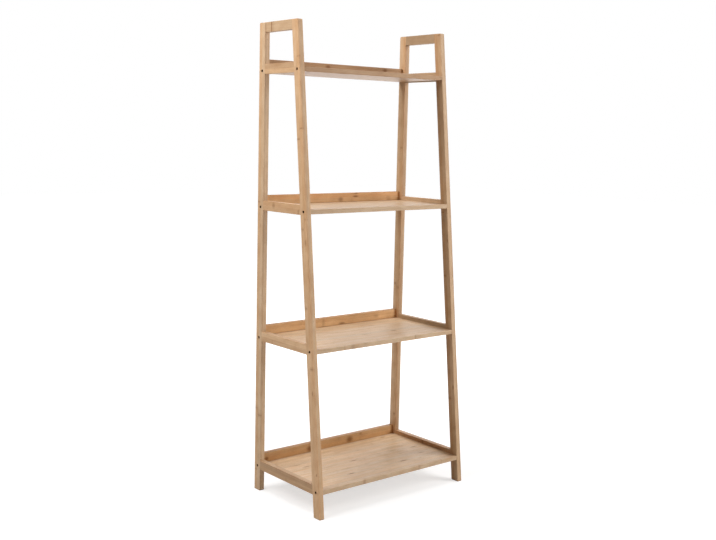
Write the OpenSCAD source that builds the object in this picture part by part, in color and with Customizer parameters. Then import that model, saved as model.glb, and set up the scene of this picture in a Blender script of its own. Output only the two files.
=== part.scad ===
// Bamboo shelving unit: two glued side frames with four shelves bolted between them.
// X runs across the width, Y from front to back, Z up. The origin lies on the floor,
// in the middle of the unit. All sizes are in millimetres.

/* [Overall size] */
// Width over the two side frames
width = 600; // [450:10:800]
// Height of the legs
height = 1470; // [1300:5:1700]
// Depth on the floor, from the front feet to the back
depth = 340; // [300:5:420]
// Depth at the top of the legs, where the front legs have leaned back
top_depth = 192; // [170:2:260]

/* [Side frames] */
// Thickness of the legs, side rails and handle bars, across the width
bar_t = 17.5; // [16:0.5:22]
// Width of a leg, square to its length
leg_w = 29; // [26:0.5:36]
// Height of a side rail
rail_h = 30; // [28:0.5:40]
// How far a side rail reaches below the underside of its shelf
rail_drop = 3; // [0:0.5:5]
// Height of a handle bar
handle_h = 30; // [28:0.5:40]
// Clear height of the hand hole under a handle bar
hand_h = 95; // [70:1:130]
// Rounding of the outer corner at the top of each leg
top_r = 4; // [1:0.5:8]

/* [Shelves] */
// Thickness of a shelf panel
panel_t = 14; // [13:0.5:20]
// Floor to the underside of the lowest shelf
foot_gap = 72; // [40:1:120]
// How much lower the middle bay is than the two others
middle_less = 5; // [0:1:40]
// Height of a back rail above its panel
back_h = 29; // [20:0.5:45]
// Thickness of a back rail
back_t = 17.5; // [12:0.5:24]

/* [Bolts and barrel nuts] */
// Diameter of the bolt shank
bolt_d = 5; // [4:0.5:6]
// Length of the bolt under its head
bolt_len = 40; // [36:1:46]
// Diameter of the bolt head
head_d = 8.5; // [7.5:0.5:10]
// Height of the bolt head
head_h = 5; // [4:0.5:6]
// How deep the bolt head sits below the face of the leg
head_recess = 1.5; // [0.5:0.5:3]
// Width across the flats of the hex socket
socket_af = 4; // [3:0.5:5]
// Depth of the hex socket
socket_depth = 2.5; // [1.5:0.5:3]
// Diameter of a barrel nut
nut_d = 10; // [9:0.5:12]
// Length of a barrel nut
nut_len = 10; // [8:0.5:11]
// End of the panel to the middle of the barrel nut
nut_inset = 25; // [20:1:28]

/* [Dowels] */
// Diameter of a dowel
dowel_d = 8; // [6:0.5:9]
// Length of a dowel
dowel_len = 34; // [24:1:40]
// Distance between the two dowels at each end of a handle bar
dowel_pitch = 14; // [11:0.5:16]

/* [Back rail screws] */
// Diameter of the screw shank
screw_d = 4; // [3:0.5:5]
// Length of the screw
screw_len = 36; // [26:1:40]
// Diameter of the countersunk screw head
screw_head_d = 8; // [6.5:0.5:9]
// End of the panel to the first screw
screw_inset = 70; // [50:5:100]

/* [Clearances] */
// Around the bolt shank and the bolt head, on the radius
bolt_clear = 0.25; // [0.1:0.05:0.4]
// Around a barrel nut, and around the bolt in its thread, on the radius
nut_clear = 0.1; // [0.05:0.05:0.2]
// Around a dowel and around a screw in the back rail, on the radius
glue_clear = 0.05; // [0.05:0.05:0.15]
// Spare hole depth beyond each end of a dowel, bolt or screw
end_clear = 1; // [0.5:0.5:2]

/* [Hidden] */
$fn = 48;

// How far a cutting shape runs past the face that it opens
past = 1;
// Number of shelves, lowest first
shelves = 4;
// The top shelf hangs from the hand hole, and the bays share the height below it
handle_z = height - handle_h;
top_shelf_z = handle_z - hand_h - rail_h + rail_drop;
bay_step = (top_shelf_z - foot_gap + middle_less) / (shelves - 1);
// Underside of each shelf panel
shelf_z = [foot_gap, foot_gap + bay_step, top_shelf_z - bay_step, top_shelf_z];
// Half the width between the side frames, which is the half length of a panel
inner_x = width / 2 - bar_t;
back_y = depth / 2;
back_in_y = back_y - leg_w;
// Set-back of the front legs for each millimetre of height
slope = (depth - top_depth) / height;
// Run of a front leg along Y, since the leg is cut by level planes
front_run = leg_w * sqrt(1 + slope * slope);
function front_y(z) = slope * z - depth / 2;
function front_in_y(z) = front_y(z) + front_run;

// Bolts run through the middle of the legs at the middle of each panel's thickness
function bolt_z(k) = shelf_z[k] + panel_t / 2;
function front_bolt_y(k) = front_y(bolt_z(k)) + front_run / 2;
rear_bolt_y = back_y - leg_w / 2;
function bolt_ys(k) = [front_bolt_y(k), rear_bolt_y];
bolt_hole_r = bolt_d / 2 + bolt_clear;
head_hole_r = head_d / 2 + bolt_clear;
seat_depth = head_recess + head_h;
seat_x = width / 2 - seat_depth;
bolt_tip_x = seat_x - bolt_len;
nut_x = inner_x - nut_inset;

// One dowel at each end of a side rail, midway between the bolt's counterbore and the rail's top
function rail_z(k) = shelf_z[k] - rail_drop;
function rail_top_z(k) = rail_z(k) + rail_h;
function rail_dowel_z(k) = (bolt_z(k) + head_hole_r + rail_top_z(k)) / 2;
handle_dowel_zs = [for (side = [-1, 1]) handle_z + handle_h / 2 + side * dowel_pitch / 2];
dowel_zs = concat([for (k = [0:shelves - 1]) rail_dowel_z(k)], handle_dowel_zs);
dowel_x = inner_x + bar_t / 2;
dowel_chamfer = 1;

// Screws come up through the panel into the middle of the back rail
screw_y = back_y - back_t / 2;
screw_xs = [-inner_x + screw_inset, 0, inner_x - screw_inset];
screw_head_h = (screw_head_d - screw_d) / 2;
screw_sink = 0.3;
screw_point = screw_d;
screw_slot = [screw_head_d / 2, 1, screw_head_h];

bamboo = [0.80, 0.65, 0.47];
bamboo_dark = [0.74, 0.56, 0.38];
bamboo_pale = [0.83, 0.71, 0.57];
beech = [0.86, 0.74, 0.56];
bronze = [0.24, 0.18, 0.12];
zinc = [0.72, 0.72, 0.70];

// A bar of the side frame on the right, from its outline in Y and Z
module frame_bar(outline) {
    translate([inner_x, 0, 0]) rotate([90, 0, 90]) linear_extrude(bar_t) polygon(outline);
}

// What is taken off to round a corner: centre is the middle of the rounding,
// and the two directions point from it to where the rounding meets the faces
module corner_waste(corner, centre, to_face, outward) {
    translate([inner_x - past, 0, 0]) rotate([90, 0, 90]) linear_extrude(bar_t + 2 * past)
        difference() {
            polygon([
                centre, centre + [0, top_r + past], corner + [outward * past, past],
                centre + (top_r + past) * to_face
            ]);
            translate(centre) circle(top_r);
        }
}

// Bolt hole through a leg on the right, with the counterbore for the head outside
module leg_bolt_hole(y, z) {
    translate([inner_x - past, y, z]) rotate([0, 90, 0]) {
        cylinder(h = bar_t + 2 * past, r = bolt_hole_r);
        translate([0, 0, bar_t + past - seat_depth])
            cylinder(h = seat_depth + past, r = head_hole_r);
    }
}

// Dowel hole along Y, centred where a rail meets a leg
module dowel_hole(y, z) {
    hole_len = dowel_len + 2 * end_clear;
    translate([dowel_x, y + hole_len / 2, z]) rotate([90, 0, 0])
        cylinder(h = hole_len, r = dowel_d / 2 + glue_clear);
}

module rear_dowel_holes() {
    for (z = dowel_zs) dowel_hole(back_in_y, z);
}

module front_dowel_holes() {
    for (z = dowel_zs) dowel_hole(front_in_y(z), z);
}

// Upright leg at the back
module rear_leg() {
    centre = [back_y - top_r, height - top_r];
    difference() {
        frame_bar([[back_in_y, 0], [back_y, 0], [back_y, height], [back_in_y, height]]);
        corner_waste([back_y, height], centre, [1, 0], 1);
        for (k = [0:shelves - 1]) leg_bolt_hole(rear_bolt_y, bolt_z(k));
        rear_dowel_holes();
    }
}

// Leaning leg at the front, cut level at the floor and at the top
module front_leg() {
    face_normal = [-1, slope] / sqrt(1 + slope * slope);
    tangent = top_r / tan((90 + atan(slope)) / 2);
    corner = [front_y(height), height];
    difference() {
        frame_bar([
            [front_y(0), 0], [front_in_y(0), 0],
            [front_in_y(height), height], corner
        ]);
        corner_waste(corner, corner + [tangent, -top_r], face_normal, -1);
        for (k = [0:shelves - 1]) leg_bolt_hole(front_bolt_y(k), bolt_z(k));
        front_dowel_holes();
    }
}

// Level bar between the two legs of the right frame, its front end cut to the lean of the leg
module cross_bar(z0, z1) {
    difference() {
        frame_bar([
            [front_in_y(z0), z0], [back_in_y, z0],
            [back_in_y, z1], [front_in_y(z1), z1]
        ]);
        rear_dowel_holes();
        front_dowel_holes();
    }
}

module handle_bar() {
    cross_bar(handle_z, height);
}

module side_rail(k) {
    cross_bar(rail_z(k), rail_top_z(k));
}

// Round wooden dowel along Y, centred on its middle
module dowel() {
    body_len = dowel_len - 2 * dowel_chamfer;
    rotate([90, 0, 0]) union() {
        cylinder(h = body_len, d = dowel_d, center = true);
        for (side = [0, 1]) mirror([0, 0, side]) translate([0, 0, body_len / 2])
            cylinder(h = dowel_chamfer, d1 = dowel_d, d2 = dowel_d - 2 * dowel_chamfer);
    }
}

module frame_dowels() {
    for (z = dowel_zs) {
        translate([dowel_x, back_in_y, z]) dowel();
        translate([dowel_x, front_in_y(z), z]) dowel();
    }
}

// Glued bamboo board between the side frames, flush with the legs at front and back
module shelf_panel(k) {
    front = front_y(shelf_z[k] + panel_t);
    difference() {
        translate([-inner_x, front, shelf_z[k]])
            cube([2 * inner_x, back_y - front, panel_t]);
        for (side = [0, 1], y = bolt_ys(k)) mirror([side, 0, 0]) {
            translate([bolt_tip_x - end_clear, y, bolt_z(k)]) rotate([0, 90, 0])
                cylinder(h = inner_x - bolt_tip_x + end_clear + past, r = bolt_hole_r);
            translate([nut_x, y, shelf_z[k] - past])
                cylinder(h = panel_t / 2 + nut_len / 2 + past, r = nut_d / 2 + nut_clear);
        }
        for (x = screw_xs) translate([x, screw_y, shelf_z[k]]) {
            translate([0, 0, -past])
                cylinder(h = panel_t + 2 * past, r = screw_d / 2 + bolt_clear);
            translate([0, 0, -past])
                cylinder(h = past + screw_sink, r = screw_head_d / 2 + glue_clear);
            translate([0, 0, screw_sink]) cylinder(
                h = screw_head_h,
                r1 = screw_head_d / 2 + glue_clear, r2 = screw_d / 2 + glue_clear
            );
        }
    }
}

// Upright strip along the back edge of a panel, between the rear legs
module back_rail(k) {
    top_of_panel = shelf_z[k] + panel_t;
    hole_top = shelf_z[k] + screw_sink + screw_len + end_clear;
    difference() {
        translate([-inner_x, back_y - back_t, top_of_panel])
            cube([2 * inner_x, back_t, back_h]);
        for (x = screw_xs) translate([x, screw_y, top_of_panel - past])
            cylinder(h = hole_top - top_of_panel + past, r = screw_d / 2 + glue_clear);
    }
}

// Countersunk wood screw, head down, its head's face at the origin
module wood_screw() {
    difference() {
        union() {
            cylinder(h = screw_head_h, d1 = screw_head_d, d2 = screw_d);
            cylinder(h = screw_len - screw_point, d = screw_d);
            translate([0, 0, screw_len - screw_point])
                cylinder(h = screw_point, d1 = screw_d, d2 = screw_d / 8);
        }
        for (turn = [0, 90]) rotate([0, 0, turn])
            translate([-screw_slot.x / 2, -screw_slot.y / 2, -past])
                cube([screw_slot.x, screw_slot.y, screw_slot.z + past]);
    }
}

// Socket head bolt along Z, head down, its seat at the origin
module socket_bolt() {
    tip = bolt_d / 8;
    difference() {
        union() {
            translate([0, 0, -head_h]) cylinder(h = head_h, d = head_d);
            cylinder(h = bolt_len - tip, d = bolt_d);
            translate([0, 0, bolt_len - tip])
                cylinder(h = tip, d1 = bolt_d, d2 = bolt_d - 2 * tip);
        }
        translate([0, 0, -head_h - past])
            cylinder(h = socket_depth + past, d = socket_af / cos(30), $fn = 6);
    }
}

module frame_bolts() {
    for (k = [0:shelves - 1], y = bolt_ys(k))
        translate([seat_x, y, bolt_z(k)]) rotate([0, -90, 0]) socket_bolt();
}

// Barrel nut upright in its panel, with the cross hole along X and a turning slot below
module barrel_nut() {
    slot_w = nut_d / 8;
    difference() {
        cylinder(h = nut_len, d = nut_d, center = true);
        rotate([0, 90, 0])
            cylinder(h = nut_d + 2 * past, r = bolt_d / 2 + nut_clear, center = true);
        translate([-nut_d / 2 - past, -slot_w / 2, -nut_len / 2 - past])
            cube([nut_d + 2 * past, slot_w, slot_w + past]);
    }
}

module all_barrel_nuts() {
    for (k = [0:shelves - 1], y = bolt_ys(k), side = [-1, 1])
        translate([side * nut_x, y, bolt_z(k)]) barrel_nut();
}

module all_screws() {
    for (k = [0:shelves - 1], x = screw_xs)
        translate([x, screw_y, shelf_z[k] + screw_sink]) wood_screw();
}

// The left frame is the mirror image of the right one
module on_left() {
    mirror([1, 0, 0]) children();
}

module left_rear_leg() { color(bamboo) on_left() rear_leg(); }
module left_front_leg() { color(bamboo) on_left() front_leg(); }
module left_handle_bar() { color(bamboo) on_left() handle_bar(); }
module left_rail(k) { color(bamboo_dark) on_left() side_rail(k); }
module left_frame_dowels() { color(beech) on_left() frame_dowels(); }
module left_bolts() { color(bronze) on_left() frame_bolts(); }
module right_rear_leg() { color(bamboo) rear_leg(); }
module right_front_leg() { color(bamboo) front_leg(); }
module right_handle_bar() { color(bamboo) handle_bar(); }
module right_rail(k) { color(bamboo_dark) side_rail(k); }
module right_frame_dowels() { color(beech) frame_dowels(); }
module right_bolts() { color(bronze) frame_bolts(); }
module panel(k) { color(bamboo_pale) shelf_panel(k); }
module rail_at_back(k) { color(bamboo_dark) back_rail(k); }
module back_rail_screws() { color(zinc) all_screws(); }
module barrel_nuts() { color(zinc) all_barrel_nuts(); }

left_rear_leg();
left_front_leg();
left_handle_bar();
left_rail(0);  // left_rail_1
left_rail(1);  // left_rail_2
left_rail(2);  // left_rail_3
left_rail(3);  // left_rail_4
left_frame_dowels();
right_rear_leg();
right_front_leg();
right_handle_bar();
right_rail(0);  // right_rail_1
right_rail(1);  // right_rail_2
right_rail(2);  // right_rail_3
right_rail(3);  // right_rail_4
right_frame_dowels();
panel(0);  // shelf_panel_1
panel(1);  // shelf_panel_2
panel(2);  // shelf_panel_3
panel(3);  // shelf_panel_4
rail_at_back(0);  // back_rail_1
rail_at_back(1);  // back_rail_2
rail_at_back(2);  // back_rail_3
rail_at_back(3);  // back_rail_4
back_rail_screws();
left_bolts();
right_bolts();
barrel_nuts();
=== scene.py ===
# Bamboo shelving unit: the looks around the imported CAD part.
# Metres, in the part's own frame: X across, Y to the back, Z up, the floor at Z = 0.
import math

import bpy
from mathutils import Matrix, Vector


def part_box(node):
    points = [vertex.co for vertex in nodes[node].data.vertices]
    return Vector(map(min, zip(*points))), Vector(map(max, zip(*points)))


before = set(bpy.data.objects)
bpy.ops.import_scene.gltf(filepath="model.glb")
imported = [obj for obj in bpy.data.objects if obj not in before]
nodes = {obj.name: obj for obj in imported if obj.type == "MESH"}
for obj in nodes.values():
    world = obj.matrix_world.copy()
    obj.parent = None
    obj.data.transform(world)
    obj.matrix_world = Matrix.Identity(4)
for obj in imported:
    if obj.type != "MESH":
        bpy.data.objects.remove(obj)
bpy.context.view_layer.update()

scene = bpy.context.scene
scene.view_settings.view_transform = "Standard"

# The unit's depth and height, from the legs of one side
front_leg, rear_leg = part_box("left_front_leg"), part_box("left_rear_leg")
DEPTH, HEIGHT = rear_leg[1].y - front_leg[0].y, rear_leg[1].z
# How deep the unit is at the top, and how far the legs' tops are rounded, as in the part's source
TOP_DEPTH, TOP_ROUND = 0.192, 0.004
# The front legs lean back by this angle
LEAN = math.atan((DEPTH - TOP_DEPTH) / HEIGHT)
# The shelves are numbered from the lowest
SHELVES = range(1, 5)
# Millimetres in a metre
MM = 1000

# Camera
# Solved from the photograph's straight edges: a 1008.54 px lens on a 716 px wide picture, whose
# optical middle lies at (322.65, 248.27) px.


def make_camera():
    place = (-2.09437, -2.41326, 1.13994)
    yaw, pitch, roll = 0.67228, -0.11386, -0.01929
    focal_px, mid_x, mid_y, wide, high = 1008.54, 322.65, 248.27, 716, 540
    sensor_mm = 36
    flat = math.cos(pitch)
    ahead = Vector((math.sin(yaw) * flat, math.cos(yaw) * flat, math.sin(pitch)))
    level = Vector((math.cos(yaw), -math.sin(yaw), 0))
    upright = level.cross(ahead)
    right = math.cos(roll) * level - math.sin(roll) * upright
    up = math.sin(roll) * level + math.cos(roll) * upright
    data = bpy.data.cameras.new("camera")
    data.sensor_width = sensor_mm
    data.lens = focal_px / wide * sensor_mm
    data.shift_x = (wide / 2 - mid_x) / wide
    data.shift_y = (mid_y - high / 2) / wide
    camera = bpy.data.objects.new("camera", data)
    turn = Matrix((right, up, -ahead)).transposed().to_4x4()
    camera.matrix_world = Matrix.Translation(place) @ turn
    scene.collection.objects.link(camera)
    scene.camera = camera


make_camera()

# Helpers for nodes and colours


class Graph:
    """Short names for making nodes and joining them."""

    def __init__(self, tree):
        self.tree = tree

    def add(self, kind, **props):
        n = self.tree.nodes.new(kind)
        for k, v in props.items():
            setattr(n, k, v)
        return n

    def put(self, value, socket):
        """Joins or sets one socket. None leaves it as it is."""
        if isinstance(value, bpy.types.NodeSocket):
            self.tree.links.new(value, socket)
        elif value is not None:
            socket.default_value = value

    def fill(self, values, sockets):
        for value, socket in zip(values, sockets):
            self.put(value, socket)

    def math(self, op, a, b=None, c=None, clamp=False):
        n = self.add("ShaderNodeMath", operation=op, use_clamp=clamp)
        self.fill((a, b, c), n.inputs)
        return n.outputs[0]

    def vector(self, op, a, b=None):
        n = self.add("ShaderNodeVectorMath", operation=op)
        self.fill((a, b), n.inputs)
        return n.outputs["Value"] if op in ("LENGTH", "DOT_PRODUCT") else n.outputs[0]

    def xyz(self, x, y, z):
        n = self.add("ShaderNodeCombineXYZ")
        self.fill((x, y, z), n.inputs)
        return n.outputs[0]

    def split(self, vector):
        n = self.add("ShaderNodeSeparateXYZ")
        self.put(vector, n.inputs[0])
        return n.outputs[0], n.outputs[1], n.outputs[2]

    def noise(self, vector, scale, detail, rough):
        n = self.add("ShaderNodeTexNoise")
        self.put(vector, n.inputs["Vector"])
        n.inputs["Scale"].default_value = scale
        n.inputs["Detail"].default_value = detail
        n.inputs["Roughness"].default_value = rough
        return n.outputs[0]

    def dice(self, vector, w=None):
        """Four random numbers from 0 to 1 that stay the same for the same vector and w."""
        n = self.add("ShaderNodeTexWhiteNoise", noise_dimensions="3D" if w is None else "4D")
        self.put(vector, n.inputs["Vector"])
        if w is not None:
            self.put(w, n.inputs["W"])
        return (n.outputs["Value"], *self.split(n.outputs["Color"]))

    def ramp(self, value, low, high, to_low=0.0, to_high=1.0):
        """A soft step from to_low, where value is low, to to_high, where value is high."""
        n = self.add("ShaderNodeMapRange", interpolation_type="SMOOTHSTEP")
        self.fill((value, low, high, to_low, to_high), n.inputs)
        return n.outputs[0]

    def fade(self, value, near, far):
        """1 up to near, and a soft fall to 0 at far."""
        return self.ramp(value, near, far, 1.0, 0.0)

    def between(self, share, low, high):
        """low where share is 0, and high where it is 1."""
        return self.math("MULTIPLY_ADD", share, high - low, low)

    def sway(self, value, size, middle):
        """middle, moved up or down by up to half of size as value runs from 0 to 1."""
        return self.math("MULTIPLY_ADD", self.math("SUBTRACT", value, 0.5), size, middle)

    def mix(self, share, a, b, blend="MIX"):
        n = self.add("ShaderNodeMix", data_type="RGBA", blend_type=blend, clamp_factor=True)
        # Socket 0 is the share. Sockets 6 and 7 are the two colours, and output 2 is theirs.
        self.fill((share, a, b), (n.inputs[0], n.inputs[6], n.inputs[7]))
        return n.outputs[2]


def srgb(r, g, b):
    """A colour as seen in a picture, 0 to 255, as the linear colour that Blender wants."""
    def one(c):
        c /= 255
        return c / 12.92 if c <= 0.04045 else ((c + 0.055) / 1.055) ** 2.4
    return (one(r), one(g), one(b), 1.0)


def grey(level):
    return (level, level, level, 1)


def new_material(name):
    """An empty material and its graph."""
    material = bpy.data.materials.new(name)
    material.use_nodes = True
    material.node_tree.nodes.clear()
    return material, Graph(material.node_tree)


# Eased edges
# The real bars and boards have their long edges sanded round. The bevels are modifiers, so the
# CAD meshes stay as they are.


def edge_group():
    """Gives a bevel weight to sharp edges that run the named way, unless they are too short, and
    to all the sharp edges near a bar's two ends where the heights ask for it."""
    aligned, shortest, least_angle = 0.9, 0.012, math.radians(50)
    tree = bpy.data.node_groups.new("eased edges", "GeometryNodeTree")
    for name, kind, io in (
        ("Geometry", "NodeSocketGeometry", "INPUT"), ("Run", "NodeSocketVector", "INPUT"),
        ("Ends above", "NodeSocketFloat", "INPUT"), ("Ends below", "NodeSocketFloat", "INPUT"),
        ("Geometry", "NodeSocketGeometry", "OUTPUT"),
    ):
        tree.interface.new_socket(name, in_out=io, socket_type=kind)
    g = Graph(tree)
    i = g.add("NodeGroupInput").outputs
    ends = g.add("GeometryNodeInputMeshEdgeVertices").outputs
    first, second = ends["Position 1"], ends["Position 2"]
    span = g.vector("SUBTRACT", first, second)
    same_way = g.math("ABSOLUTE", g.vector("DOT_PRODUCT", g.vector("NORMALIZE", span), i["Run"]))
    long_enough = g.math("GREATER_THAN", g.vector("LENGTH", span), shortest)
    along = g.math("MULTIPLY", g.math("GREATER_THAN", same_way, aligned), long_enough)
    _, _, twice_z = g.split(g.vector("ADD", first, second))
    z = g.math("MULTIPLY", twice_z, 0.5)
    at_top = g.math("GREATER_THAN", z, i["Ends above"])
    at_foot = g.math("LESS_THAN", z, i["Ends below"])
    chosen = g.math("MAXIMUM", along, g.math("MAXIMUM", at_top, at_foot))
    angle = g.add("GeometryNodeInputMeshEdgeAngle").outputs[0]
    sharp = g.math("GREATER_THAN", angle, least_angle)
    plain = g.add("GeometryNodeRemoveAttribute")
    plain.inputs["Name"].default_value = "custom_normal"
    g.put(i["Geometry"], plain.inputs[0])
    keep = g.add("GeometryNodeStoreNamedAttribute", data_type="FLOAT", domain="EDGE")
    keep.inputs["Name"].default_value = "bevel_weight_edge"
    g.put(plain.outputs[0], keep.inputs[0])
    g.put(g.math("MULTIPLY", sharp, chosen), keep.inputs["Value"])
    g.put(keep.outputs[0], g.add("NodeGroupOutput").inputs[0])
    return tree


def smooth_group():
    """Smooth faces with sharp edges kept sharp."""
    least_angle = math.radians(40)
    tree = bpy.data.node_groups.new("smooth faces", "GeometryNodeTree")
    for io in ("INPUT", "OUTPUT"):
        tree.interface.new_socket("Geometry", in_out=io, socket_type="NodeSocketGeometry")
    g = Graph(tree)
    faces = g.add("GeometryNodeSetShadeSmooth", domain="FACE")
    faces.inputs["Shade Smooth"].default_value = True
    g.put(g.add("NodeGroupInput").outputs[0], faces.inputs[0])
    edges = g.add("GeometryNodeSetShadeSmooth", domain="EDGE")
    g.put(faces.outputs[0], edges.inputs[0])
    angle = g.add("GeometryNodeInputMeshEdgeAngle").outputs[0]
    g.put(g.math("GREATER_THAN", angle, least_angle), edges.inputs["Selection"])
    edges.inputs["Shade Smooth"].default_value = False
    g.put(edges.outputs[0], g.add("NodeGroupOutput").inputs[0])
    return tree


EDGES, SMOOTH = edge_group(), smooth_group()
# A height that no piece reaches, over the unit or under the floor
NOWHERE = 9.0


def ease(node, width, run, above=NOWHERE, below=-NOWHERE):
    """Rounds a piece's edges: those that go the way of run, and all above or below a height."""
    same_place, same_plane = 1e-5, math.radians(0.3)
    o = nodes[node]
    o.modifiers.new("weld", "WELD").merge_threshold = same_place
    flat = o.modifiers.new("flat faces", "DECIMATE")
    flat.decimate_type = "DISSOLVE"
    flat.angle_limit = same_plane
    pick = o.modifiers.new("edges to ease", "NODES")
    pick.node_group = EDGES
    slots = {s.name: s.identifier for s in EDGES.interface.items_tree if s.in_out == "INPUT"}
    pick[slots["Run"]] = run
    pick[slots["Ends above"]] = above
    pick[slots["Ends below"]] = below
    bevel = o.modifiers.new("eased edges", "BEVEL")
    bevel.limit_method = "WEIGHT"
    bevel.width = width
    bevel.segments = 3
    bevel.use_clamp_overlap = False
    o.modifiers.new("smooth", "NODES").node_group = SMOOTH
    normals = o.modifiers.new("normals", "WEIGHTED_NORMAL")
    normals.keep_sharp = True
    normals.weight = 100


def ease_all():
    bar_ease, board_ease = 0.0008, 0.0012
    across, backward, upward = (1.0, 0.0, 0.0), (0.0, 1.0, 0.0), (0.0, 0.0, 1.0)
    # A leg's edges above top belong to its rounded end, and those below foot lie on the floor
    slack, foot = 0.0001, 0.0005
    top = HEIGHT - TOP_ROUND + slack
    for side in ("left", "right"):
        for leg in ("rear", "front"):
            ease(f"{side}_{leg}_leg", bar_ease, upward, top, foot)
        for bar in ["handle_bar"] + [f"rail_{k}" for k in SHELVES]:
            ease(f"{side}_{bar}", bar_ease, backward)
    for k in SHELVES:
        ease(f"shelf_panel_{k}", board_ease, across)
        ease(f"back_rail_{k}", board_ease, across)


ease_all()

# Bamboo
# One group makes all the bamboo. Its point is in millimetres: u runs along the grain, v across
# the glued strips and w through their layers.


class Spot:
    """Where a shaded point lies in its piece, and in its own strip and layer. g is the group's
    graph, and i are its inputs."""

    def __init__(self, g, i):
        # The first strip and layer begin outside the piece, so that no face lies on a glue line
        outside = 0.5
        self.g, self.seed = g, i["Seed"]
        self.u, v, w = g.split(i["Point"])
        self.v, self.w = g.math("ADD", v, outside), g.math("ADD", w, outside)
        across, deep = g.math("DIVIDE", self.v, i["Strip"]), g.math("DIVIDE", self.w, i["Layer"])
        self.strip, self.layer = g.math("FLOOR", across), g.math("FLOOR", deep)
        self.side, self.sunk = g.math("FRACT", across), g.math("FRACT", deep)

    def grain(self, v, along, sideways, detail, rough=0.5):
        """Noise drawn out along the grain. along and sideways are its waves in a millimetre."""
        g = self.g
        point = g.xyz(g.math("MULTIPLY", self.u, along), g.math("MULTIPLY", v, sideways),
                      g.math("MULTIPLY_ADD", self.w, sideways, self.seed))
        return g.noise(point, 1.0, detail, rough)


def find_knots(g, i, spot, shift, stretch):
    """How far a point is from its strip's knot, in millimetres, and how much of the knots' colour
    it has. Each strip has knots at its own places along the culm. A knot is a thin line in a
    bloom, and both fade towards the strip's sides. A placed mark, a real dark spot or painted
    shade, counts as a knot."""
    usual_gap, most_shift, ragged = 230.0, 17.0, 5.0
    line_core, line_edge, line_share, bloom_share = 0.3, 1.6, 0.45, 0.55
    fade_from, strip_edge, left_at_edge = 0.30, 0.5, 0.35
    unseen, boldest = 0.35, 0.95
    gap = g.math("MULTIPLY", usual_gap, g.between(stretch, 0.85, 1.15))
    turns = g.math("MULTIPLY_ADD", shift, most_shift, g.math("DIVIDE", spot.u, gap))
    which = g.math("FLOOR", turns)
    bold, place, size, _ = g.dice(g.xyz(spot.strip, spot.layer, which), spot.seed)
    off = g.math("SUBTRACT", g.math("FRACT", turns), g.between(place, 0.25, 0.75))
    wander = spot.grain(spot.v, along=0.12, sideways=0.45, detail=2.0)
    away = g.math("ABSOLUTE", g.sway(wander, ragged, g.math("MULTIPLY", off, gap)))
    reach = g.math("MULTIPLY", i["Knot length"], g.between(size, 0.55, 1.45))
    line, bloom = g.fade(away, line_core, line_edge), g.fade(away, 0.0, reach)
    knot = g.math("MULTIPLY_ADD", line, line_share, g.math("MULTIPLY", bloom, bloom_share))
    from_middle = g.math("ABSOLUTE", g.math("SUBTRACT", spot.side, 0.5))
    inside = g.ramp(from_middle, fade_from, strip_edge, 1.0, left_at_edge)
    strength = g.math("MULTIPLY", g.ramp(bold, unseen, boldest), i["Knot strength"])
    knot = g.math("MULTIPLY", g.math("MULTIPLY", knot, inside), strength)
    return away, g.math("MAXIMUM", knot, i["Mark"])


def draw_fibres(g, spot, away):
    """The fine, broad and clouded unevenness of the fibres, and the pores. Fibres run along the
    grain and swell round a knot."""
    swell_reach, swell, pore_starts, pore_full = 16.0, 0.7, 0.62, 0.78
    v = g.math("ADD", spot.v, g.math("MULTIPLY", g.fade(away, 0.0, swell_reach), swell))
    fine = spot.grain(v, along=0.035, sideways=1.5, detail=3.0, rough=0.6)
    broad = spot.grain(v, along=0.006, sideways=0.22, detail=2.0)
    cloud = spot.grain(spot.v, along=0.02, sideways=0.045, detail=1.0)
    specks = spot.grain(v, along=0.16, sideways=2.8, detail=0.0)
    return fine, broad, cloud, g.ramp(specks, pore_starts, pore_full)


def find_glue(g, i, spot):
    """Thin lines between the strips and between their layers."""
    line_edge = 0.22
    nearest = [
        g.math("MULTIPLY", g.math("MINIMUM", share, g.math("SUBTRACT", 1.0, share)), size)
        for share, size in ((spot.side, i["Strip"]), (spot.sunk, i["Layer"]))
    ]
    return g.fade(g.math("MINIMUM", *nearest), 0.0, line_edge)


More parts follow.
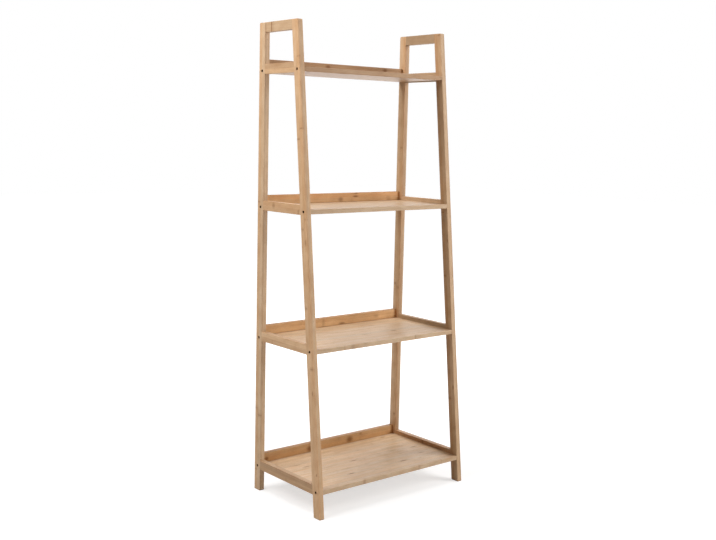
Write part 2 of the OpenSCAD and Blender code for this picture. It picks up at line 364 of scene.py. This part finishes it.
def bamboo_group():
    """The colour, roughness and relief of bamboo at a point."""
    tree = bpy.data.node_groups.new("bamboo", "ShaderNodeTree")
    for io, kind, names in (
        ("INPUT", "NodeSocketVector", ("Point",)),
        ("INPUT", "NodeSocketColor", ("Pale", "Deep", "Knot")),
        ("INPUT", "NodeSocketFloat", ("Strip", "Layer", "Knot length", "Knot strength",
                                      "Variety", "Seed", "Mark")),
        ("OUTPUT", "NodeSocketColor", ("Color",)),
        ("OUTPUT", "NodeSocketFloat", ("Roughness", "Height")),
    ):
        for name in names:
            tree.interface.new_socket(name, in_out=io, socket_type=kind)
    g = Graph(tree)
    i = g.add("NodeGroupInput").outputs
    spot = Spot(g, i)
    tone, shift, stretch, warmth = g.dice(g.xyz(spot.strip, spot.layer, spot.seed))
    away, knot = find_knots(g, i, spot, shift, stretch)
    fine, broad, cloud, pores = draw_fibres(g, spot, away)
    glue = find_glue(g, i, spot)

    # From pale to deep by strip and by fibre, then cooler or warmer by strip
    shade = g.sway(tone, i["Variety"], 0.0)
    for unevenness, size in ((fine, 0.75), (broad, 0.8), (cloud, 0.9)):
        shade = g.sway(unevenness, size, shade)
    shade = g.math("ADD", shade, 0.5, clamp=True)
    cooler, warmer = (0.96, 1.0, 1.04, 1), (1.04, 0.99, 0.92, 1)
    color = g.mix(shade, i["Pale"], i["Deep"])
    color = g.mix(1.0, color, g.mix(warmth, cooler, warmer), "MULTIPLY")

    # Darker in the pores, along the glue, and at the knots and placed marks, some of them painted
    # shade
    pore_share, glue_share = 0.30, 0.22
    darker = g.math("MULTIPLY", pores, pore_share), g.math("MULTIPLY", glue, glue_share), knot
    for share in darker:
        color = g.mix(share, color, i["Knot"])

    usual_rough, fibre_rough, knot_rough = 0.48, 0.16, 0.10
    rough = g.math("MULTIPLY_ADD", knot, knot_rough, g.sway(fine, fibre_rough, usual_rough))
    height = fine
    for relief, rise in ((pores, -0.5), (glue, -0.6), (knot, 0.1)):
        height = g.math("MULTIPLY_ADD", relief, rise, height)
    out = g.add("NodeGroupOutput").inputs
    g.fill((color, rough, height), (out["Color"], out["Roughness"], out["Height"]))
    return tree


BAMBOO = bamboo_group()
# The knots' colour, which also darkens the pores, the glue and the placed marks, some of them
# painted shade
KNOT = srgb(116, 71, 24)
# How deep a layer of the bars' bamboo is, in millimetres
BAR_LAYER = 6.17
# The kinds of piece. grain names the axes along the fibres, across the strips and through the
# layers; strip and layer are their widths in millimetres; knots and length are the knots'
# strength and size; variety is how much the strips differ in tone. The colours pale and deep were
# corrected by a fit of the render's colours to the photograph's.
FRAME_TONES = dict(pale=srgb(206, 177, 144), deep=srgb(175, 138, 102))
LEG = dict(FRAME_TONES, grain="zyx", strip=15, layer=BAR_LAYER, variety=0.7)
HANDLE = dict(FRAME_TONES, grain="yzx", strip=31, layer=BAR_LAYER)
RAIL = dict(FRAME_TONES, grain="yzx", strip=15.5, layer=BAR_LAYER)
PANEL = dict(
    pale=srgb(206, 179, 148), deep=srgb(179, 143, 107), grain="xyz", strip=6.2, layer=15,
    knots=0.35, length=11.0, variety=0.28,
)
BACK_RAIL = dict(
    pale=srgb(205, 167, 122), deep=srgb(180, 135, 90), grain="xzy", strip=15, layer=BAR_LAYER,
    knots=0.2, length=9.0,
)
DOWEL = dict(
    pale=srgb(226, 196, 152), deep=srgb(206, 170, 122), grain="yzx", strip=40, layer=40,
    knots=0.0,
)


def placed_marks(g, point, marks):
    """Darker spots at chosen places, real ones and some painted shade, or None without any: each
    is (where along the grain, where across, how long, how wide, how strong), in millimetres, and
    runs through all the layers."""
    core, edge = 0.2, 1.3
    most = None
    for along, across, long, wide, strength in marks:
        away = g.vector("SUBTRACT", point, (along, across, 0))
        far = g.vector("LENGTH", g.vector("MULTIPLY", away, (2 / long, 2 / wide, 0)))
        dark = g.ramp(far, core, edge, strength, 0.0)
        most = dark if most is None else g.math("MAXIMUM", most, dark)
    return most


def bamboo(node, corner, seed, pale, deep, grain, strip, layer, lean=0.0, knots=0.6, length=8.0,
           variety=0.5, tone=(1.0, 0.0), marks=()):
    """Bamboo for one piece, whose strips are counted from corner, in metres. tone is how much
    lighter and how much warmer the whole piece is, partly its own tone and partly painted light
    and shade. The kinds of piece explain the other words."""
    shine, relief, relief_height = 0.25, 0.35, 0.0002
    lighter, warmer = tone
    factors = lighter * (1 + warmer), lighter, lighter * (1 - warmer)
    pale, deep = ([c * f for c, f in zip(colour, factors)] + [1.0] for colour in (pale, deep))
    material, g = new_material("bamboo_" + node)
    turned = g.add("ShaderNodeMapping", vector_type="POINT")
    g.put(g.add("ShaderNodeTexCoord").outputs["Object"], turned.inputs["Vector"])
    turned.inputs["Rotation"].default_value = (lean, 0, 0)
    turned.inputs["Scale"].default_value = (MM, MM, MM)
    turned.inputs["Location"].default_value = Matrix.Rotation(lean, 3, "X") @ Vector(corner) * -MM
    parts = dict(zip("xyz", g.split(turned.outputs[0])))
    point = g.xyz(*[parts[axis] for axis in grain])
    look = g.add("ShaderNodeGroup", node_tree=BAMBOO)
    for name, value in (
        ("Point", point), ("Pale", pale), ("Deep", deep), ("Knot", KNOT), ("Strip", strip),
        ("Layer", layer), ("Knot length", length), ("Knot strength", knots),
        ("Variety", variety), ("Seed", seed), ("Mark", placed_marks(g, point, marks)),
    ):
        g.put(value, look.inputs[name])
    bump = g.add("ShaderNodeBump")
    bump.inputs["Strength"].default_value = relief
    bump.inputs["Distance"].default_value = relief_height
    g.put(look.outputs["Height"], bump.inputs["Height"])
    skin = g.add("ShaderNodeBsdfPrincipled")
    skin.inputs["Specular IOR Level"].default_value = shine
    g.put(look.outputs["Color"], skin.inputs["Base Color"])
    g.put(look.outputs["Roughness"], skin.inputs["Roughness"])
    g.put(bump.outputs[0], skin.inputs["Normal"])
    g.put(skin.outputs[0], g.add("ShaderNodeOutputMaterial").inputs[0])
    return material


def metal(name, dark, bright, rough):
    """Plated steel, darker and smoother in some places and brighter and rougher in others."""
    clouds_per_metre, more_rough, dark_below, bright_above = 900.0, 0.25, 0.35, 0.7
    material, g = new_material(name)
    place = g.add("ShaderNodeTexCoord").outputs["Object"]
    cloud = g.noise(place, clouds_per_metre, detail=3.0, rough=0.6)
    skin = g.add("ShaderNodeBsdfPrincipled")
    skin.inputs["Metallic"].default_value = 1.0
    color = g.mix(g.ramp(cloud, dark_below, bright_above), dark, bright)
    g.put(color, skin.inputs["Base Color"])
    g.put(g.math("MULTIPLY_ADD", cloud, more_rough, rough), skin.inputs["Roughness"])
    g.put(skin.outputs[0], g.add("ShaderNodeOutputMaterial").inputs[0])
    return material


# Darker spots that the photograph shows, in millimetres from each piece's own corner: along the
# grain, across the strips, how long, how wide, how strong. The first three are thin lines without
# an end, and darken a back rail's top, a side rail's top and a leg's front. The fourth darkens a
# leg's foot end over its whole width. The spots' places were read from the photograph and turned
# into millimetres with the camera.
ENDLESS, THIN = 9000, 1.2
# Painted shade along a back rail's top
BACK_TOP_PAINTED_SHADE = (0, 29, ENDLESS, THIN, 0.6)
# Painted shade along a side rail's top
RAIL_TOP_PAINTED_SHADE = (0, 30, ENDLESS, THIN, 0.35)
# Painted shade over the whole of a leg's front face
LEG_FRONT_PAINTED_SHADE = (0, 0, ENDLESS, THIN, 0.35)
# Painted shade at a leg's foot end, where it meets the floor
LEG_END_PAINTED_SHADE = (0, 15, 5, 200, 0.8)
MARKS = {
    "shelf_panel_1": (
        (215, 293, 34, 9, 0.5), (234, 155, 34, 9, 0.6), (208, 95, 34, 9, 0.45),
        (104, 66, 34, 9, 0.75), (145, 164, 28, 8, 0.3), (-29, 160, 34, 9, 0.75),
        (-116, 68, 34, 9, 0.8), (-210, 227, 38, 9, 0.35), (-190, 201, 34, 9, 0.5),
        (112, 0, 12, 10, 0.25), (-120, 0, 14, 8, 0.35),
    ),
    "shelf_panel_2": (
        (107, 202, 32, 9, 0.4), (111, 97, 30, 9, 0.8), (-12, 99, 36, 8, 0.35),
        (118, 0, 9, 8, 0.35), (-143, 0, 16, 8, 0.25),
    ),
    "back_rail_1": (
        (-90, 11, 30, 24, 0.8), (82, 12, 32, 26, 0.78), (-266, 9, 18, 16, 0.8),
        (131, 24, 15, 11, 0.4), BACK_TOP_PAINTED_SHADE,
    ),
    "back_rail_2": (
        (36, 3.5, 32, 9, 0.7), (190, 14, 28, 16, 0.3), (-43, 14, 14, 34, 0.25), BACK_TOP_PAINTED_SHADE,
    ),
    "back_rail_3": (
        (84, 17, 26, 8, 0.8), (85, 28, 22, 8, 0.6), (20, 8, 24, 18, 0.55),
        (232, 7, 26, 20, 0.3), BACK_TOP_PAINTED_SHADE,
    ),
    "back_rail_4": ((-44, 19, 24, 12, 0.8), (201, 20, 22, 14, 0.8), BACK_TOP_PAINTED_SHADE),
    "left_handle_bar": ((109, 15, 4.2, 90, 1.0), (104, 15, 16, 60, 0.2)),
    "left_rail_2": (RAIL_TOP_PAINTED_SHADE,),
    "left_rail_3": ((86, 19, 18, 22, 0.45),),
    "left_front_leg": (
        (823, 10, 22, 9, 0.45), (377, 8, 18, 8, 0.5), (134, 6, 10, 6, 0.65), LEG_END_PAINTED_SHADE,
    ),
    "left_rear_leg": ((850, 13, 16, 11, 0.25), LEG_END_PAINTED_SHADE),
    "right_front_leg": ((800, 4, 14, 6, 0.6), (314, 5, 18, 8, 0.55), LEG_END_PAINTED_SHADE),
    "right_rear_leg": (LEG_END_PAINTED_SHADE, LEG_FRONT_PAINTED_SHADE),
    "right_rail_1": (RAIL_TOP_PAINTED_SHADE,),
    "right_rail_2": (RAIL_TOP_PAINTED_SHADE,),
    "right_rail_3": (RAIL_TOP_PAINTED_SHADE,),
}
# How much lighter each piece is than its kind, and how much warmer. The values come from a fit of
# the render's colours to the photograph's. They were rounded, and a few were changed.
# Partly each piece's own tone and partly painted light and shade over the whole piece
PIECE_TONES_AND_PAINTED_LIGHT = {
    "back_rail_1": (0.90, 0.06), "back_rail_2": (1.25, 0), "back_rail_3": (1.25, 0),
    "back_rail_4": (0.71, 0.05), "left_rear_leg": (1.10, 0), "left_front_leg": (1.17, 0),
    "right_front_leg": (0.89, 0.02), "right_rear_leg": (1.12, 0), "left_handle_bar": (0.92, 0),
    "right_handle_bar": (0.62, 0.10), "left_rail_1": (0.71, 0.07), "left_rail_2": (1.03, 0.05),
    "left_rail_3": (0.98, 0.08), "left_rail_4": (0.89, 0.05), "right_rail_1": (0.91, 0.08),
    "right_rail_2": (0.81, 0), "right_rail_3": (1.12, 0), "right_rail_4": (0.75, 0),
    "shelf_panel_1": (1.05, 0), "shelf_panel_2": (0.97, 0), "shelf_panel_3": (0.91, 0),
    "shelf_panel_4": (0.65, 0.17),
}


def dress(node, material):
    o = nodes[node]
    o.data.materials.clear()
    o.data.materials.append(material)


def cover(name, kind, seed, lean=0.0):
    """Dresses a bamboo piece. Its strips are counted from its lowest corner, and lengths along
    its grain from the unit's middle or, on a leg, from the floor."""
    low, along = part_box(name)[0], kind["grain"][0]
    corner = [0 if axis == along else c for axis, c in zip("xyz", low)]
    marks = MARKS.get(name, ())
    dress(name, bamboo(name, corner, seed, lean=lean, tone=PIECE_TONES_AND_PAINTED_LIGHT[name], marks=marks, **kind))


def dress_all():
    # Each piece has its own seed
    for side, seed in (("left", 1), ("right", 21)):
        cover(f"{side}_rear_leg", LEG, seed)
        cover(f"{side}_front_leg", LEG, seed + 1, LEAN)
        cover(f"{side}_handle_bar", HANDLE, seed + 2)
        for k in SHELVES:
            cover(f"{side}_rail_{k}", RAIL, seed + 2 + k)
    # A search found these seeds. They give the panels' front strips the photograph's order of
    # dark, pale, palest, dark.
    for k, seed in zip(SHELVES, (58, 51, 75, 59)):
        cover(f"shelf_panel_{k}", PANEL, seed)
        cover(f"back_rail_{k}", BACK_RAIL, 59 + k)
    for name, seed in (("left_frame_dowels", 80), ("right_frame_dowels", 81)):
        dress(name, bamboo(name, (0, 0, 0), seed, **DOWEL))
    bronze = metal("bolt_bronze", srgb(46, 28, 8), srgb(68, 44, 16), rough=0.6)
    zinc = metal("zinc_plate", srgb(170, 170, 166), srgb(205, 205, 200), rough=0.25)
    for name in ("left_bolts", "right_bolts"):
        dress(name, bronze)
    for name in ("back_rail_screws", "barrel_nuts"):
        dress(name, zinc)


dress_all()

# Light and floor


def softbox(name, turn, rise, power, away=3.2, side=1.6, aim=0.75):
    """A square lamp of this power in watts and this long a side. It looks at the point that lies
    aim above the floor's middle, from the compass turn (0 is the front, 90 the right), the rise
    above level, both in degrees, and the distance away."""
    turn, rise = math.radians(turn), math.radians(rise)
    flat = math.cos(rise)
    way = Vector((math.sin(turn) * flat, -math.cos(turn) * flat, math.sin(rise)))
    data = bpy.data.lights.new(name, "AREA")
    data.shape = "SQUARE"
    data.size = side
    data.energy = power
    lamp = bpy.data.objects.new(name, data)
    lamp.location = Vector((0, 0, aim)) + away * way
    lamp.rotation_mode = "QUATERNION"
    lamp.rotation_quaternion = (-way).to_track_quat("-Z", "Y")
    lamp.visible_camera = False
    scene.collection.objects.link(lamp)


# The powers come from a fit of the render's colours to the photograph's too, and were rounded
softbox("behind_left", turn=225, rise=60, power=64)
softbox("left", turn=270, rise=25, power=33, away=2.2, side=1.0, aim=1.3)
softbox("right", turn=90, rise=60, power=31)
softbox("front_right_low", turn=45, rise=5, power=41)
softbox("front_right", turn=45, rise=32, power=50)
softbox("behind_right_low", turn=135, rise=5, power=15)


def white_where_seen(g, plain, white):
    """Shows white to the camera, in reflections and through glass, and plain to other light."""
    path = g.add("ShaderNodeLightPath").outputs
    mirrored = g.math("MAXIMUM", path["Is Glossy Ray"], path["Is Transmission Ray"])
    both = g.add("ShaderNodeMixShader")
    g.fill((g.math("MAXIMUM", path["Is Camera Ray"], mirrored), plain, white), both.inputs)
    return both.outputs[0]


def make_world(strength):
    """White to the camera, and a faint light of this strength on the unit."""
    world = bpy.data.worlds.new("studio")
    world.use_nodes = True
    world.node_tree.nodes.clear()
    g = Graph(world.node_tree)
    skies = []
    for level in (strength, 1.0):
        sky = g.add("ShaderNodeBackground")
        sky.inputs["Color"].default_value = grey(1)
        sky.inputs["Strength"].default_value = level
        skies.append(sky.outputs[0])
    g.put(white_where_seen(g, *skies), g.add("ShaderNodeOutputWorld").inputs[0])
    scene.world = world


make_world(strength=0.04)


def make_floor(glow, near, far):
    """White paper. What the camera sees of it is part paper, which keeps the shadow at the feet,
    and part glow, which grows to full white between near and far, in metres from the middle."""
    half_side, under_feet, paper_level, seen_level = 14.0, 0.0002, 0.8, 0.5
    corners = [(x * half_side, y * half_side, 0) for x, y in ((-1, -1), (1, -1), (1, 1), (-1, 1))]
    mesh = bpy.data.meshes.new("floor")
    mesh.from_pydata(corners, [], [(0, 1, 2, 3)])
    floor = bpy.data.objects.new("floor", mesh)
    floor.location.z = -under_feet
    scene.collection.objects.link(floor)
    material, g = new_material("floor_paper")
    paper, seen_paper = g.add("ShaderNodeBsdfDiffuse"), g.add("ShaderNodeBsdfDiffuse")
    paper.inputs["Color"].default_value = grey(paper_level)
    seen_paper.inputs["Color"].default_value = grey(seen_level)
    away = g.vector("LENGTH", g.add("ShaderNodeTexCoord").outputs["Object"])
    shine = g.add("ShaderNodeEmission")
    g.put(g.ramp(away, near, far, glow, 1.0), shine.inputs["Strength"])
    bright = g.add("ShaderNodeAddShader")
    g.fill((seen_paper.outputs[0], shine.outputs[0]), bright.inputs)
    surface = white_where_seen(g, paper.outputs[0], bright.outputs[0])
    g.put(surface, g.add("ShaderNodeOutputMaterial").inputs[0])
    mesh.materials.append(material)


make_floor(glow=0.62, near=0.6, far=2.2)
